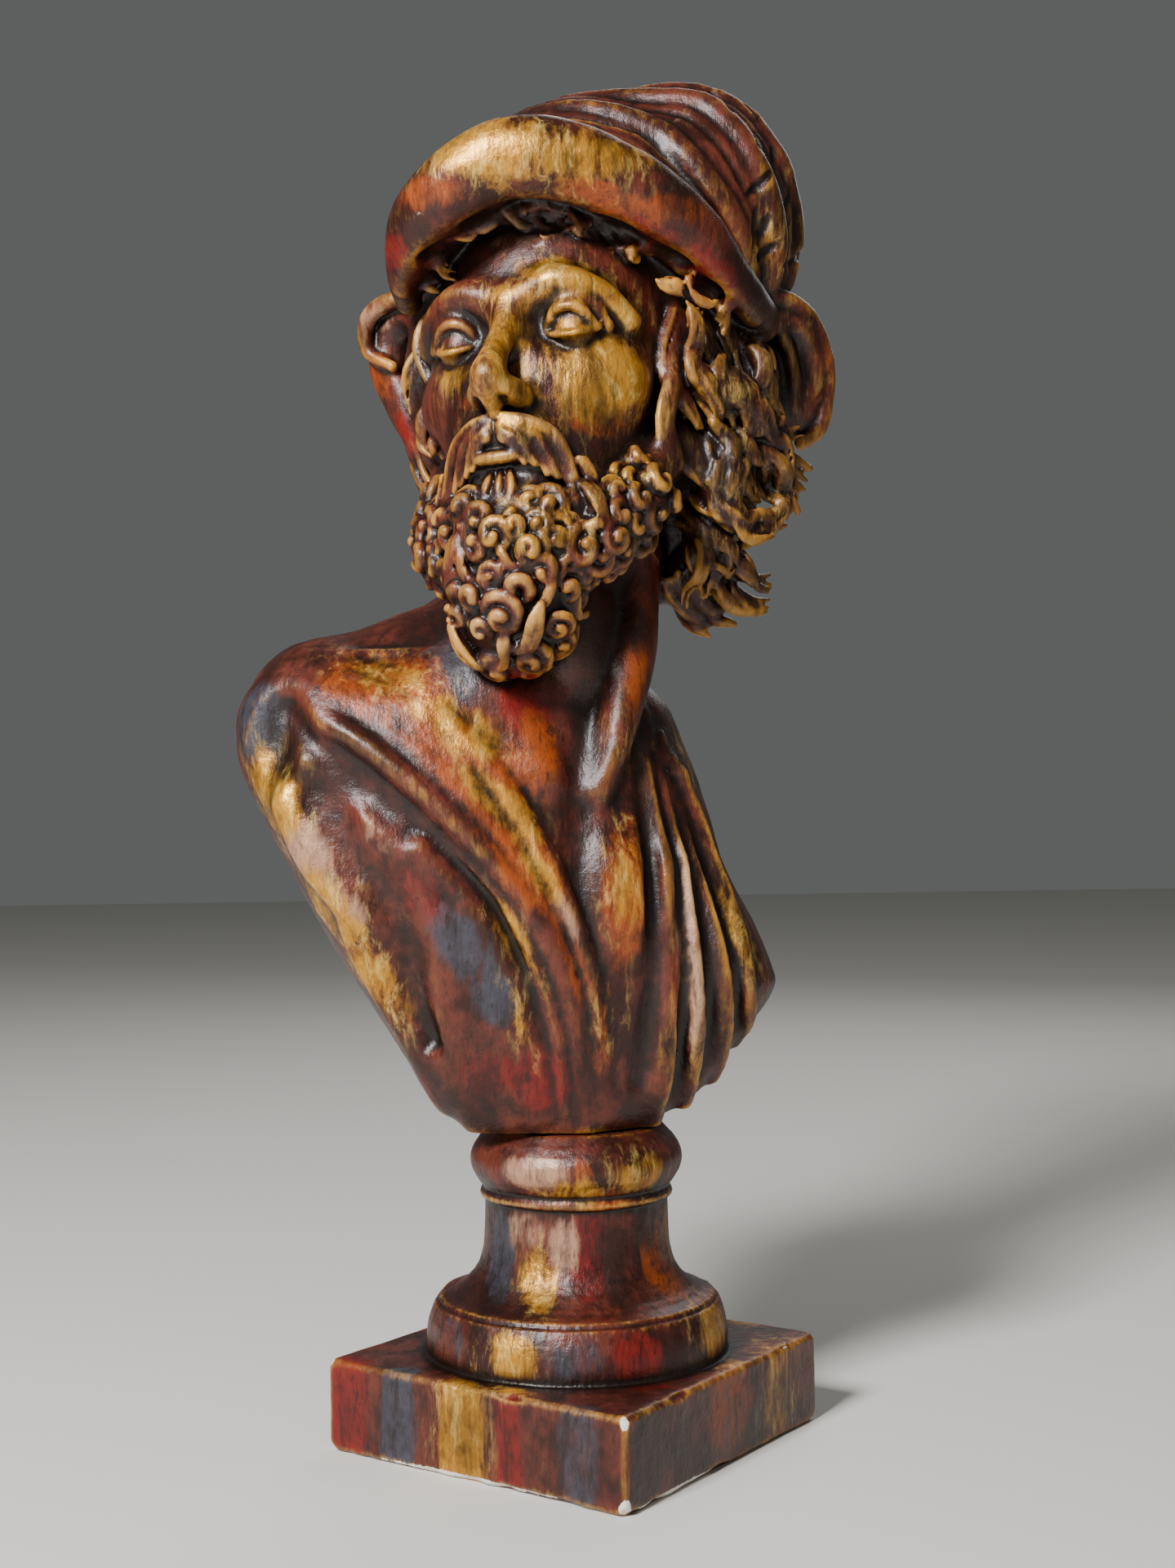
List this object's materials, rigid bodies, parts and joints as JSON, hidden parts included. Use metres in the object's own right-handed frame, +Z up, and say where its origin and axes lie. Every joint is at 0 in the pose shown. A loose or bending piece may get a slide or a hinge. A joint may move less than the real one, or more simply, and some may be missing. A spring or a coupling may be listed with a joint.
{
  "type": "classical bust",
  "caption": "Painted plaster bust of a bearded man in a soft cap and draped robe, on a turned socle with a square plinth.",
  "frame": {"origin": "centre of the plinth's underside", "axes": "+Z up; the chest faces -Y, with the plinth a corner forward, and the figure's right shoulder at -X"},
  "size_m": [0.2611, 0.211, 0.5878],
  "materials": {
    "painted_plaster": "plaster painted in imitation gold, red and slate under a dark brown glaze, satin varnish",
    "painted_socle": "plaster painted in patches of red, gold and slate under a dark brown glaze, satin varnish"
  },
  "bodies": {
    "root": {"bust": "painted_plaster", "socle": "painted_socle"}
  },
  "joints": []
}
